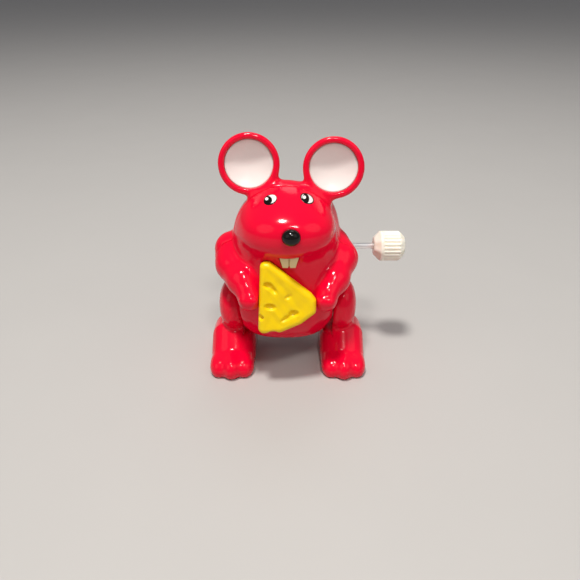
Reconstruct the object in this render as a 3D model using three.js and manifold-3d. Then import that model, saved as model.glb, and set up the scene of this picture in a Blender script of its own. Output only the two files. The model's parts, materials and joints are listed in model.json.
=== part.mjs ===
// Clockwork walking mouse with a wedge of cheese: two moulded shells round a
// plate gearbox, legs worked by a crank on each side. Millimetres, +Z up, the
// mouse faces -Y and its own left is +X.
import * as THREE from 'three';
import { mergeVertices } from 'three/addons/utils/BufferGeometryUtils.js';
import Module from 'manifold-3d';

const wasm = await Module();
wasm.setup();

// ---------------------------------------------------------------- dimensions
// The modelled axes have X = 0 in the mid-plane and Y = 0 in the plane of the
// ears; the finished group is moved so that its box is centred on the origin.
const SHIFT = [-5.075, 1.45, 0];

const WALL = 1.5; // shell wall
const PART_Y = -3.0; // parting plane of the two shells
const BASE_Z = 10.0; // flat underside of the body
const SIDE_X = 12.2; // flat body side behind each leg
const LEG_X = 12.6; // inner face of each leg
const POCKET_Z = 25.5; // top of the leg recess

// [centre, radii, exponent]
const BELLY = [[-0.8, 0.8, 21.0], [14.7, 13.2, 13.6], 2.6];
const CHEST = [[0.1, -0.6, 29.0], [14.2, 10.6, 11.0], 2.2];
const BACK = [[0.4, 2.5, 30.5], [15.2, 12.5, 12.5], 2];
const SKULL = [[-0.4, -1.0, 39.9], [12.2, 10.6, 12.2], 2];
const JOWL = [[-1.2, -0.5, 38.0], [12.5, 10.8, 9.5], 2.3];
const NAPE = [[3.2, 3.0, 37.5], [10.5, 8.5, 13.0], 2];
const SNOUT = [[0.3, -7.5, 41.8], [11.0, 8.0, 6.2], 2.2];

const EAR_R = 7.7; // outer radius of an ear
const EAR_RIM = 0.85; // half thickness of its rim
const EAR_IN = 6.1; // radius of the white dish
const EAR_TILT = 10; // degrees, leaning back
const EARS = { left: [11.5, 0, 55.3], right: [-9.6, 0, 56.3] };

// arm: from the shoulder to the hand as [x, y, z, r]
const ARMS = {
  left: [
    [12.6, 2.0, 33.5, 4.2], [13.9, -2.0, 31.2, 4.3], [12.3, -8.0, 28.3, 3.4], [10.4, -12.0, 26.3, 2.5],
    [9.9, -13.3, 24.9, 2.75],
  ],
  right: [
    [-14.7, 0.0, 33.0, 4.8], [-14.4, -4.0, 30.3, 4.1], [-12.05, -9.0, 28.1, 3.3], [-10.5, -11.8, 27.05, 2.65],
    [-9.7, -13.3, 25.25, 2.8],
  ],
};

const NOSE = [0.9, -15.9, 43.6];
const NOSE_R = [2.28, 2.0, 2.05];
const TEETH_Y = [-13.5, -12.3];
const TEETH_X = 0.4;

const HIP = [2.0, 15.0]; // Y, Z of the crank axis
const THROW = 1.2; // crank throw
const PIN_R = 0.9;
const DISC_R = 2.4;

const WIND = [4.0, 32.0]; // Y, Z of the winding axis
const SHAFT_R = 0.78;
const KNOB_X = [23.5, 31.9];
const KNOB_R = 4.2;

// side outline of the foot and instep (Y, Z), its centre and half width in X
const FOOT = [
  [-11.9, -6.0], [13.8, -6.0], [13.9, 1.5], [9.8, 7.2], [4.5, 10.8], [-3.2, 11.8], [-11.9, 4.4],
];
const FOOT_X = 15.5;
const FOOT_W = 6.25;
const TOES = [
  [[15.5, -11.2, 2.3], [2.9, 4.2, 3.5]],
  [[19.0, -10.4, 1.9], [2.6, 3.9, 3.2]],
  [[12.0, -10.4, 1.9], [2.6, 3.9, 3.2]],
];
const HAUNCH = [[15.0, 0.2, 16.2], [4.2, 7.0, 7.0], 2.3];

const PLATE_IN = 6.9; // inner faces of the gearbox plates
const PLATE_T = 1.2;
const PILLARS = [[-3.6, 13.4], [7.9, 15.4], [-4.3, 36.0]];
const PILLAR_R = 0.9;

// gear train: [teeth, module, profile shift]
const G_GREAT = [30, 0.5, -0.25];
const G_SECOND_P = [10, 0.5, 0.25];
const G_SECOND_W = [25, 0.5, -0.25];
const G_CRANK_P = [10, 0.5, 0.25];
const G_THIRD_W = [22, 0.4, -0.25];
const G_ESC_P = [10, 0.4, 0.25];
const SECOND = [-0.857, 23.266]; // Y, Z of the second arbor
const ESC = [6.525, 19.525]; // Y, Z of the escape arbor
const PALLET = [9.3, 23.2]; // Y, Z of the pallet arbor

// ------------------------------------------------------------------- helpers
const D = Math.PI / 180;
const clean = (g) => {
  g.deleteAttribute('normal');
  if (g.attributes.uv) g.deleteAttribute('uv');
  const m = mergeVertices(g, 1e-4);
  // drop the zero-width faces that poles and shared corners leave
  const id = m.index.array;
  const keep = [];
  for (let i = 0; i < id.length; i += 3)
    if (id[i] !== id[i + 1] && id[i + 1] !== id[i + 2] && id[i] !== id[i + 2])
      keep.push(id[i], id[i + 1], id[i + 2]);
  m.setIndex(keep);
  return m;
};
const solid = (g) => {
  const m = clean(g);
  return new wasm.Manifold(
    new wasm.Mesh({
      numProp: 3,
      vertProperties: Float32Array.from(m.attributes.position.array),
      triVerts: Uint32Array.from(m.index.array),
    }),
  );
};
const geometry = (s) => {
  const m = s.getMesh();
  const g = new THREE.BufferGeometry();
  g.setAttribute('position', new THREE.BufferAttribute(Float32Array.from(m.vertProperties), 3));
  g.setIndex(new THREE.BufferAttribute(Uint32Array.from(m.triVerts), 1));
  g.computeVertexNormals();
  return g;
};
const join = (...s) => s.reduce((a, b) => a.add(b));
const cut = (a, ...s) => s.reduce((x, b) => x.subtract(b), a);

// a lump |x/a|^p + |y/b|^p + |z/c|^p = 1, made from a displaced sphere
const lump = ([c, r, p = 2], grow = 0, w = 20, h = 12) => {
  const g = clean(new THREE.SphereGeometry(1, w, h));
  g.rotateX(Math.PI / 2);
  const q = g.attributes.position;
  for (let i = 0; i < q.count; i++) {
    const d = [q.getX(i), q.getY(i), q.getZ(i)];
    const s = d.reduce((t, v, k) => t + Math.abs(v / (r[k] + grow)) ** p, 0) ** (-1 / p);
    q.setXYZ(i, c[0] + d[0] * s, c[1] + d[1] * s, c[2] + d[2] * s);
  }
  return solid(g);
};
const ball = (c, r, w = 16, h = 10) => lump([c, [r, r, r], 2], 0, w, h);

// two balls and the cone that is tangent to both
const limb = (a, b, seg = 12, arc = 3) => {
  const A = new THREE.Vector3(a[0], a[1], a[2]);
  const B = new THREE.Vector3(b[0], b[1], b[2]);
  const L = A.distanceTo(B);
  const t = Math.asin((a[3] - b[3]) / L); // tangent latitude
  const pts = [];
  for (let i = 0; i <= arc; i++) {
    const u = -Math.PI / 2 + (Math.PI / 2 + t) * (i / arc);
    pts.push(new THREE.Vector2(Math.max(0, a[3] * Math.cos(u)), a[3] * Math.sin(u)));
  }
  for (let i = 0; i <= arc; i++) {
    const u = t + (Math.PI / 2 - t) * (i / arc);
    pts.push(new THREE.Vector2(Math.max(0, b[3] * Math.cos(u)), L + b[3] * Math.sin(u)));
  }
  pts[0].x = 0;
  pts[pts.length - 1].x = 0;
  const g = new THREE.LatheGeometry(pts, seg);
  const q = new THREE.Quaternion().setFromUnitVectors(
    new THREE.Vector3(0, 1, 0),
    B.clone().sub(A).normalize(),
  );
  g.applyQuaternion(q);
  g.translate(A.x, A.y, A.z);
  return solid(g);
};

const box = (x0, x1, y0, y1, z0, z1) => {
  const g = new THREE.BoxGeometry(x1 - x0, y1 - y0, z1 - z0);
  g.translate((x0 + x1) / 2, (y0 + y1) / 2, (z0 + z1) / 2);
  return solid(g);
};
// rods along an axis; the first is along X at Y, Z, the second along Y at X, Z
const rodX = (r, x0, x1, y, z, seg = 16) => {
  const g = new THREE.CylinderGeometry(r, r, x1 - x0, seg);
  g.rotateZ(-Math.PI / 2);
  g.translate((x0 + x1) / 2, y, z);
  return solid(g);
};
const rodY = (r, y0, y1, x, z, seg = 16, r2 = r) => {
  const g = new THREE.CylinderGeometry(r2, r, y1 - y0, seg);
  g.translate(x, (y0 + y1) / 2, z);
  return solid(g);
};
// an outline in the Y-Z plane, given depth along X
const YZX = new THREE.Matrix4().makeBasis(
  new THREE.Vector3(0, 1, 0),
  new THREE.Vector3(0, 0, 1),
  new THREE.Vector3(1, 0, 0),
);
const slabX = (shape, x0, x1, segs = 8) => {
  const g = new THREE.ExtrudeGeometry(shape, {
    depth: x1 - x0,
    bevelEnabled: false,
    curveSegments: segs,
    steps: 1,
  });
  g.applyMatrix4(YZX);
  g.translate(x0, 0, 0);
  return solid(g);
};
const outline = (pts) => new THREE.Shape(pts.map((p) => new THREE.Vector2(p[0], p[1])));
const circle = (y, z, r, n = 16) =>
  outline(
    Array.from({ length: n }, (_, i) => [
      y + r * Math.cos((2 * Math.PI * i) / n),
      z + r * Math.sin((2 * Math.PI * i) / n),
    ]),
  );

// involute gear outline at Y, Z with one tooth (or one gap) pointing along dir
const inv = (a) => Math.tan(a) - a;
const gearShape = ([n, m, x], at, dir, gap, bore) => {
  const r = (n * m) / 2;
  const rb = r * Math.cos(20 * D);
  const ra = r + m * (0.8 + x);
  const rf = r - m * (1.0 - x);
  const s = m * (Math.PI / 2 + 2 * x * Math.tan(20 * D)) - 0.07;
  const half = (q) => s / (2 * r) + inv(20 * D) - (q > rb ? inv(Math.acos(rb / q)) : 0);
  const pts = [];
  for (let i = 0; i < n; i++) {
    const c = dir + ((i + (gap ? 0.5 : 0)) * 2 * Math.PI) / n;
    const radii = [rf, (Math.max(rb, rf) + ra) / 2, ra];
    for (const q of radii) pts.push([q, c - half(q)]);
    for (const q of radii.slice().reverse()) pts.push([q, c + half(q)]);
  }
  const shape = outline(pts.map(([q, t]) => [at[0] + q * Math.cos(t), at[1] + q * Math.sin(t)]));
  if (bore) shape.holes.push(circle(at[0], at[1], bore));
  return shape;
};
const toward = (a, b) => Math.atan2(b[1] - a[1], b[0] - a[0]);

// --------------------------------------------------------------------- group
const part = new THREE.Group();
part.position.set(...SHIFT);
const body = {};
for (const name of ['housing', 'winder', 'second', 'crank', 'escape', 'pallet', 'legs']) {
  body[name] = new THREE.Group();
  part.add(body[name]);
}
const colours = {
  red: [0xe3002d, 0.18, 0],
  yellow: [0xf2cf08, 0.32, 0],
  white: [0xf6ece4, 0.22, 0],
  black: [0x0b0a09, 0.12, 0],
  cream: [0xe6cf9c, 0.35, 0],
  milky: [0xf3ead8, 0.4, 0],
  steel: [0xb9bcc0, 0.28, 1],
  zinc: [0x9aa0a4, 0.35, 1],
  brass: [0xc9a04e, 0.3, 1],
  acetal: [0xe9e7df, 0.45, 0],
  spring: [0x5b6068, 0.35, 1],
};
const add = (group, name, s, colour) => {
  const [c, roughness, metalness] = colours[colour];
  const mesh = new THREE.Mesh(
    geometry(s),
    new THREE.MeshStandardMaterial({ color: c, roughness, metalness }),
  );
  mesh.name = name;
  body[group].add(mesh);
};

const plateOutline = (g = 0) =>
  outline([
    [-5.0 - g, 12.0 - g], [6.4 + g / 2, 12.0 - g], [8.9 + g, 16.0], [10.4 + g, 22.0],
    [10.4 + g, 31.0], [7.2 + g, 37.2], [3.5, 38.4 + g], [-4.4, 38.0 + g], [-5.9 - g, 36.2],
    [-5.4 - g, 28.0],
  ]);

// -------------------------------------------------------------------- shells
const earPlace = (s, at) => {
  // the lathe's axis (+Y) becomes the ear's front normal: -Y, tipped up
  const e = new THREE.Euler((90 + 90 - EAR_TILT) * D, 0, 0);
  s.rotateX(e.x);
  s.translate(...at);
  return solid(s);
};
// front of the dish, rim bead, convex back; t is along the front normal
const dishT = (r, drop = 0) => -1.75 - drop + 1.95 * (r / EAR_IN) ** 2;
const earSolid = (at) => {
  const rim = EAR_R - EAR_RIM;
  const p = [];
  for (let i = 0; i <= 3; i++) {
    const r = 6.6 * (i / 3);
    p.push(new THREE.Vector2(r, -3.6 + 2.8 * (r / 6.6) ** 2));
  }
  for (const a of [-50, -5, 40, 85, 130])
    p.push(new THREE.Vector2(rim + EAR_RIM * Math.cos(a * D), EAR_RIM * Math.sin(a * D)));
  for (let i = 3; i >= 0; i--) {
    const r = EAR_IN * (i / 3);
    p.push(new THREE.Vector2(r, dishT(r, 0.75)));
  }
  p[0].x = 0;
  p[p.length - 1].x = 0;
  return earPlace(new THREE.LatheGeometry(p, 16), at);
};
const dishVoid = (at) => {
  const p = [0, 1, 2, 3].map((i) => new THREE.Vector2((EAR_IN * i) / 3, dishT((EAR_IN * i) / 3, 0.75)));
  p.push(new THREE.Vector2(EAR_IN + 0.6, 3), new THREE.Vector2(0, 3));
  return earPlace(new THREE.LatheGeometry(p, 16), at);
};
const linerSolid = (at) => {
  const p = [];
  const n = 3;
  const R = EAR_IN - 0.35;
  for (let i = 0; i <= n; i++) p.push(new THREE.Vector2(R * (i / n), dishT(R * (i / n), 0.5)));
  for (let i = n; i >= 0; i--) p.push(new THREE.Vector2(R * (i / n), dishT(R * (i / n), 0)));
  p[0].x = 0;
  p[p.length - 1].x = 0;
  return earPlace(new THREE.LatheGeometry(p, 16), at);
};
// the flat web that widens from the ear's lower half down into the head: two
// circles and their common tangents, in the plane of the ear
const stalk = (at) => {
  const s = Math.sign(at[0]);
  const A = [-2.4 * s, -3.4, 4.9];
  const B = [-5.2 * s, -9.6, 3.2];
  const dir = Math.atan2(B[1] - A[1], B[0] - A[0]);
  const lean = Math.acos((A[2] - B[2]) / Math.hypot(B[0] - A[0], B[1] - A[1]));
  const pts = [];
  for (let i = 0; i <= 7; i++) {
    const u = dir + lean + ((2 * Math.PI - 2 * lean) * i) / 7;
    pts.push([A[0] + A[2] * Math.cos(u), A[1] + A[2] * Math.sin(u)]);
  }
  for (let i = 0; i <= 4; i++) {
    const u = dir - lean + (2 * lean * i) / 4;
    pts.push([B[0] + B[2] * Math.cos(u), B[1] + B[2] * Math.sin(u)]);
  }
  const g = new THREE.ExtrudeGeometry(outline(pts), { depth: 2.9, bevelEnabled: false });
  g.translate(0, 0, -2.2);
  const up = [Math.sin(EAR_TILT * D), Math.cos(EAR_TILT * D)];
  g.applyMatrix4(
    new THREE.Matrix4().makeBasis(
      new THREE.Vector3(1, 0, 0),
      new THREE.Vector3(0, up[0], up[1]),
      new THREE.Vector3(0, -up[1], up[0]),
    ),
  );
  g.translate(...at);
  return solid(g);
};

const pocket = (s) =>
  s > 0
    ? box(SIDE_X, 30, -8.2, 30, -5, POCKET_Z)
    : box(-30, -SIDE_X, -8.2, 30, -5, POCKET_Z);
const armSolid = (a) => join(...a.slice(1).map((b, i) => limb(a[i], b, 12, 2)));

let outer = join(lump(BELLY, 0, 24, 14), lump(CHEST, 0, 20, 12), lump(BACK, 0, 20, 12));
outer = cut(outer, pocket(1), pocket(-1));
outer = join(
  outer,
  lump(SKULL, 0, 20, 12),
  lump(JOWL, 0, 20, 12),
  lump(NAPE, 0, 16, 10),
  lump(SNOUT, 0, 18, 10),
  armSolid(ARMS.left),
  armSolid(ARMS.right),
  stalk(EARS.left),
  stalk(EARS.right),
);
// the tail lies on the lower back as a raised rib
outer = join(
  outer,
  limb([0.2, 12.9, 20.0, 1.5], [3.2, 13.0, 14.2, 1.3], 12, 3),
  limb([3.2, 13.0, 14.2, 1.3], [8.2, 9.6, 12.4, 0.9], 12, 3),
);
outer = cut(outer, box(-40, 40, -40, 40, -5, BASE_Z));
outer = join(outer, earSolid(EARS.left), earSolid(EARS.right));
outer = cut(outer, dishVoid(EARS.left), dishVoid(EARS.right));

let inner = join(
  lump(BELLY, -WALL, 14, 8),
  lump(CHEST, -WALL, 14, 8),
  lump(BACK, -WALL, 14, 8),
  lump(SKULL, -WALL, 14, 8),
);
inner = cut(
  inner,
  box(SIDE_X - 1.3, 30, -30, 30, -5, POCKET_Z + 1.4),
  box(-30, -SIDE_X + 1.3, -30, 30, -5, POCKET_Z + 1.4),
  box(-40, 40, -40, 40, -5, BASE_Z + WALL),
  box(-40, 40, -40, 40, 46.4, 60),
);
// room for the gearbox
inner = join(inner, slabX(plateOutline(0.5), -PLATE_IN - PLATE_T - 1.0, PLATE_IN + PLATE_T + 1.0));
// underside opening below the gearbox
const mouth = box(-9.4, 9.4, -6.4, 8.8, 5, BASE_Z + WALL + 0.5);
const hubHoles = join(
  rodX(DISC_R + 0.6, SIDE_X - 3, SIDE_X + 3, ...HIP, 24),
  rodX(DISC_R + 0.6, -SIDE_X - 3, -SIDE_X + 3, ...HIP, 24),
);
const windHole = rodX(SHAFT_R + 0.35, 9, 26, ...WIND, 16);

// screw bosses: [x, z, front end of the boss]
const BOSSES = [[0, 43.0, -12.0], [10.9, 28.0, -7.6], [-10.9, 28.0, -7.6]];
const HEAD_Y = 0.4;
const half = (front) =>
  front ? box(-60, 60, -60, PART_Y - 0.02, -5, 90) : box(-60, 60, PART_Y + 0.02, 60, -5, 90);

// cheese wedge: outline in X-Z, with a bite in its lower edge
// the wedge leans back by CHEESE_TILT about its middle; the flat of its face is
// given along X and up the face, and the rounded edge stands CHEESE_ROUND outside it
const CHEESE_AT = [0, -14.5, 27];
const CHEESE_T = 3.3;
const CHEESE_TILT = 12;
const CHEESE_ROUND = 1.4;
const CHEESE_FLAT = [
  [-6.08, -8.61], [-2.05, -8.35], [2.7, -6.25], [5.82, -3.78], [5.83, -1.44], [5.03, -0.36], [-4.87, 7.44],
  [-5.45, 7.44],
];
const lean = (g) => {
  g.rotateX(-CHEESE_TILT * D);
  return g.translate(...CHEESE_AT);
};
const cheeseSlab = (grow = 0) => {
  const g = new THREE.ExtrudeGeometry(outline(CHEESE_FLAT), {
    depth: CHEESE_T - 2 * CHEESE_ROUND,
    bevelEnabled: true,
    bevelThickness: CHEESE_ROUND + grow,
    bevelSize: CHEESE_ROUND + grow,
    bevelOffset: 0,
    bevelSegments: 3,
    curveSegments: 3,
  });
  g.rotateX(Math.PI / 2);
  g.translate(0, CHEESE_T / 2 - CHEESE_ROUND, 0);
  return solid(lean(g));
};
const dimple = (x, z, rx, ry, rz, y = 0) => {
  const g = clean(new THREE.SphereGeometry(1, 12, 8));
  g.rotateX(Math.PI / 2);
  g.scale(rx, ry, rz);
  g.translate(x, y - CHEESE_T / 2, z);
  return solid(lean(g));
};
const pegHole = (r) => rodY(r, -13.6, -10.2, 0.6, 26.5, 12);
const cheese = cut(
  join(cheeseSlab(), pegHole(1.2)),
  dimple(-4.3, 2.6, 1.6, 1.0, 1.1),
  dimple(0.25, 0.05, 0.95, 0.6, 0.5),
  dimple(-4.3, -2.6, 1.45, 1.0, 0.85),
  dimple(0.9, -4.9, 2.2, 0.9, 0.9),
  dimple(-3.75, -10.4, 1.45, 1.45, 1.45, 0.5),
);

const noseSolid = join(
  lump([NOSE, NOSE_R, 2], 0, 20, 12),
  rodY(0.8, NOSE[1], NOSE[1] + 5.0, NOSE[0], NOSE[2] - 0.2, 12),
);
const noseCut = join(
  lump([NOSE, NOSE_R, 2], 0.15, 20, 12),
  rodY(0.9, NOSE[1], NOSE[1] + 5.2, NOSE[0], NOSE[2] - 0.2, 12),
);

// two incisors in one piece, wider at the gum
const toothBlock = (g0 = 0) => {
  const s = outline([
    [-2.35 - g0, 39.2], [-2.5 - g0, 37.3], [-1.6, 34.4], [-0.14, 34.2], [0.0, 35.2],
    [0.14, 34.2], [1.6, 34.4], [2.5 + g0, 37.3], [2.35 + g0, 39.2],
  ]);
  const g = new THREE.ExtrudeGeometry(s, { depth: 1.2 + 2 * g0, bevelEnabled: false });
  g.rotateX(Math.PI / 2);
  g.translate(TEETH_X, TEETH_Y[1] + g0, 0);
  return solid(g);
};

let front = cut(outer.intersect(half(true)), inner);
front = join(
  front,
  ...BOSSES.map(([x, z, y]) => rodY(1.9, y, PART_Y - 0.02, x, z, 14).intersect(outer)),
);
front = cut(
  front,
  ...BOSSES.map(([x, z, y]) => rodY(0.9, y + 1.0, PART_Y + 1, x, z, 12)),
  mouth,
  cheeseSlab(0.25),
  pegHole(1.3),
  noseCut,
  toothBlock(0.12),
);
let rear = cut(outer.intersect(half(false)), inner, mouth, hubHoles, windHole);
rear = join(
  rear,
  ...BOSSES.map(([x, z]) => rodY(2.5, PART_Y + 0.02, 16, x, z, 16).intersect(outer)),
);
rear = cut(
  rear,
  ...BOSSES.map(([x, z]) => rodY(1.05, PART_Y - 1, 20, x, z, 12)),
  ...BOSSES.map(([x, z]) => rodY(1.8, HEAD_Y, 30, x, z, 14)),
);
add('housing', 'front_shell', front, 'red');
add('housing', 'rear_shell', rear, 'red');
add('housing', 'left_ear_liner', linerSolid(EARS.left), 'white');
add('housing', 'right_ear_liner', linerSolid(EARS.right), 'white');
add('housing', 'nose_ball', noseSolid, 'black');
add('housing', 'teeth', toothBlock(), 'cream');
add('housing', 'cheese_wedge', cheese, 'yellow');

const shellScrew = ([x, z, y]) =>
  cut(
    join(rodY(1.55, HEAD_Y + 0.05, HEAD_Y + 1.1, x, z, 16), rodY(0.8, y + 1.4, HEAD_Y + 0.1, x, z, 12)),
    box(x - 1.1, x + 1.1, HEAD_Y + 0.6, HEAD_Y + 2, z - 0.2, z + 0.2),
    box(x - 0.2, x + 0.2, HEAD_Y + 0.6, HEAD_Y + 2, z - 1.1, z + 1.1),
  );
add('housing', 'shell_screw_head', shellScrew(BOSSES[0]), 'zinc');
add('housing', 'shell_screw_left', shellScrew(BOSSES[1]), 'zinc');
add('housing', 'shell_screw_right', shellScrew(BOSSES[2]), 'zinc');

// ------------------------------------------------------------------- gearbox
const bearing = (shape, at, r) => shape.holes.push(circle(at[0], at[1], r, 16));
const plate = (x0, x1) => {
  const s = plateOutline();
  bearing(s, WIND, SHAFT_R + 0.06);
  bearing(s, SECOND, 0.56);
  bearing(s, HIP, 0.96);
  bearing(s, ESC, 0.46);
  bearing(s, PALLET, 0.46);
  return slabX(s, x0, x1);
};
const P0 = PLATE_IN;
const P1 = PLATE_IN + PLATE_T;
let rightPlate = plate(-P1, -P0);
rightPlate = join(
  rightPlate,
  ...PILLARS.map(([y, z]) => rodX(PILLAR_R, -P0 - 0.2, P0 - 0.05, y, z, 14)),
);
rightPlate = cut(rightPlate, ...PILLARS.map(([y, z]) => rodX(0.5, P0 - 4.2, P0 + 1, y, z, 10)));
const leftPlate = cut(plate(P0, P1), ...PILLARS.map(([y, z]) => rodX(0.52, P0 - 1, P1 + 1, y, z, 10)));
add('housing', 'gear_plate_left', leftPlate, 'acetal');
add('housing', 'gear_plate_right', rightPlate, 'acetal');
PILLARS.forEach(([y, z], i) =>
  add(
    'housing',
    `plate_screw_${i + 1}`,
    cut(
      join(rodX(1.0, P1 + 0.03, P1 + 0.65, y, z, 12), rodX(0.44, P0 - 3.8, P1 + 0.1, y, z, 10)),
      box(P1 + 0.35, P1 + 2, y - 0.75, y + 0.75, z - 0.13, z + 0.13),
    ),
    'zinc',
  ),
);

// mainspring: a spiral strip round the winding arbor, hooked at both ends
const spring = (() => {
  const turns = 5.25;
  const n = 84;
  const t = 0.16;
  const inside = [];
  const outside = [];
  for (let i = 0; i <= n; i++) {
    const u = i / n;
    const a = u * turns * 2 * Math.PI;
    const r = 1.75 + (6.2 - 1.75) * u ** 1.15;
    inside.push([WIND[0] + (r - t) * Math.cos(a), WIND[1] + (r - t) * Math.sin(a)]);
    outside.push([WIND[0] + (r + t) * Math.cos(a), WIND[1] + (r + t) * Math.sin(a)]);
  }
  return slabX(outline([...inside, ...outside.reverse()]), 1.0, 5.0);
})();
add('housing', 'mainspring', spring, 'spring');

// -------------------------------------------------------------------- winder
const knob = (() => {
  const ribs = 24;
  const s = outline(
    Array.from({ length: ribs * 4 }, (_, i) => {
      const a = ((i + 0.5) * 2 * Math.PI) / (ribs * 4);
      const r = i % 4 < 2 ? KNOB_R : KNOB_R - 0.35;
      return [WIND[0] + r * Math.cos(a), WIND[1] + r * Math.sin(a)];
    }),
  );
  const grip = slabX(s, ...KNOB_X);
  const profile = [
    [0, KNOB_X[0]], [2.9, KNOB_X[0]], [4.3, KNOB_X[0] + 1.6], [4.3, KNOB_X[1] - 1.6],
    [2.9, KNOB_X[1]], [0, KNOB_X[1]],
  ].map((p) => new THREE.Vector2(...p));
  const g = new THREE.LatheGeometry(profile, 24);
  g.rotateZ(-Math.PI / 2);
  g.translate(0, ...WIND);
  return cut(grip.intersect(solid(g)), rodX(SHAFT_R + 0.04, KNOB_X[0] - 1, KNOB_X[1] - 1.9, ...WIND));
})();
add('winder', 'winding_knob', knob, 'milky');
add('winder', 'wind_shaft', rodX(SHAFT_R, -P1 - 0.5, KNOB_X[1] - 2.1, ...WIND), 'steel');
add(
  'winder',
  'great_wheel',
  slabX(gearShape(G_GREAT, WIND, toward(WIND, SECOND), false, SHAFT_R + 0.05), -1.6, -0.1),
  'acetal',
);
const ratchet = outline(
  Array.from({ length: 12 }, (_, i) => {
    const a = (i * 2 * Math.PI) / 12;
    return [
      [WIND[0] + 2.5 * Math.cos(a), WIND[1] + 2.5 * Math.sin(a)],
      [WIND[0] + 1.95 * Math.cos(a + 0.09), WIND[1] + 1.95 * Math.sin(a + 0.09)],
    ];
  }).flat(),
);
ratchet.holes.push(circle(...WIND, SHAFT_R + 0.05));
add('winder', 'ratchet_wheel', slabX(ratchet, -2.9, -2.0), 'brass');
// click: a sprung pawl pinned to the great wheel beside the ratchet
const click = join(
  slabX(
    outline([
      [WIND[0] + 2.6, WIND[1] + 4.4], [WIND[0] + 0.15, WIND[1] + 2.75], [WIND[0] + 0.65, WIND[1] + 2.72],
      [WIND[0] + 3.3, WIND[1] + 3.4],
    ]),
    -2.7,
    -2.1,
  ),
  rodX(0.75, -2.8, -1.85, WIND[0] + 3.0, WIND[1] + 4.0, 12),
);
add('winder', 'click', click, 'brass');

// -------------------------------------------------------------- second arbor
add(
  'second',
  'second_pinion',
  join(
    slabX(gearShape(G_SECOND_P, SECOND, toward(SECOND, WIND), true, 0), -3.0, 0.4),
    rodX(1.0, -5.6, -2.9, ...SECOND, 14),
    rodX(0.5, -P1 - 0.3, P1 + 0.3, ...SECOND, 14),
  ),
  'brass',
);
add(
  'second',
  'second_wheel',
  slabX(gearShape(G_SECOND_W, SECOND, toward(SECOND, HIP), false, 1.05), -4.7, -3.2),
  'acetal',
);

// --------------------------------------------------------------- crank arbor
const CRANK_END = SIDE_X - 0.5;
add('crank', 'crank_shaft', rodX(PIN_R, -CRANK_END, CRANK_END, ...HIP), 'steel');
add(
  'crank',
  'crank_pinion',
  slabX(gearShape(G_CRANK_P, HIP, toward(HIP, SECOND), true, PIN_R + 0.05), -5.0, -2.9),
  'acetal',
);
add(
  'crank',
  'third_wheel',
  slabX(gearShape(G_THIRD_W, HIP, toward(HIP, ESC), false, PIN_R + 0.05), 1.5, 2.7),
  'acetal',
);
const crankDisc = (s) => {
  const a = Math.min(s * (SIDE_X - 1.9), s * SIDE_X);
  const b = Math.max(s * (SIDE_X - 1.9), s * SIDE_X);
  const pin = [s * (SIDE_X - 0.3), s * 15.3].sort((p, q) => p - q);
  const bore = [s * (SIDE_X - 3), s * (CRANK_END + 0.1)].sort((p, q) => p - q);
  return cut(
    join(rodX(DISC_R, a, b, ...HIP, 24), rodX(PIN_R, ...pin, HIP[0] - s * THROW, HIP[1], 16)),
    rodX(PIN_R + 0.05, ...bore, ...HIP),
  );
};
add('crank', 'left_crank', crankDisc(1), 'acetal');
add('crank', 'right_crank', crankDisc(-1), 'acetal');

// ---------------------------------------------------- escape wheel and pallet
add(
  'escape',
  'escape_pinion',
  join(
    slabX(gearShape(G_ESC_P, ESC, toward(ESC, HIP), true, 0), 1.2, 3.0),
    rodX(0.8, -1.2, 1.3, ...ESC, 14),
    rodX(0.4, -P1 - 0.3, P1 + 0.3, ...ESC, 12),
  ),
  'brass',
);
const escape = outline(
  Array.from({ length: 9 }, (_, i) => {
    const a = (i * 2 * Math.PI) / 9;
    return [
      [ESC[0] + 2.8 * Math.cos(a), ESC[1] + 2.8 * Math.sin(a)],
      [ESC[0] + 1.9 * Math.cos(a + 0.16), ESC[1] + 1.9 * Math.sin(a + 0.16)],
      [ESC[0] + 1.9 * Math.cos(a + 0.5), ESC[1] + 1.9 * Math.sin(a + 0.5)],
    ];
  }).flat(),
);
escape.holes.push(circle(...ESC, 0.85, 14));
add('escape', 'escape_wheel', slabX(escape, -1.0, 0.2), 'acetal');

const pallet = (() => {
  const back = toward(PALLET, ESC);
  const q = (d, s) => [
    PALLET[0] + d * Math.cos(back) - s * Math.sin(back),
    PALLET[1] + d * Math.sin(back) + s * Math.cos(back),
  ];
  const anchor = slabX(
    outline([
      q(-1.1, -0.9), q(-1.1, 0.9), q(0.6, 2.6), q(2.3, 3.1), q(2.5, 2.7),
      q(1.0, 1.4), q(1.0, -1.4), q(2.5, -2.7), q(2.3, -3.1), q(0.6, -2.6),
    ]),
    -0.9,
    0.1,
  );
  return join(anchor, rodX(0.4, -P1 - 0.3, P1 + 0.3, ...PALLET, 12));
})();
add('pallet', 'pallet', pallet, 'zinc');

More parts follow.
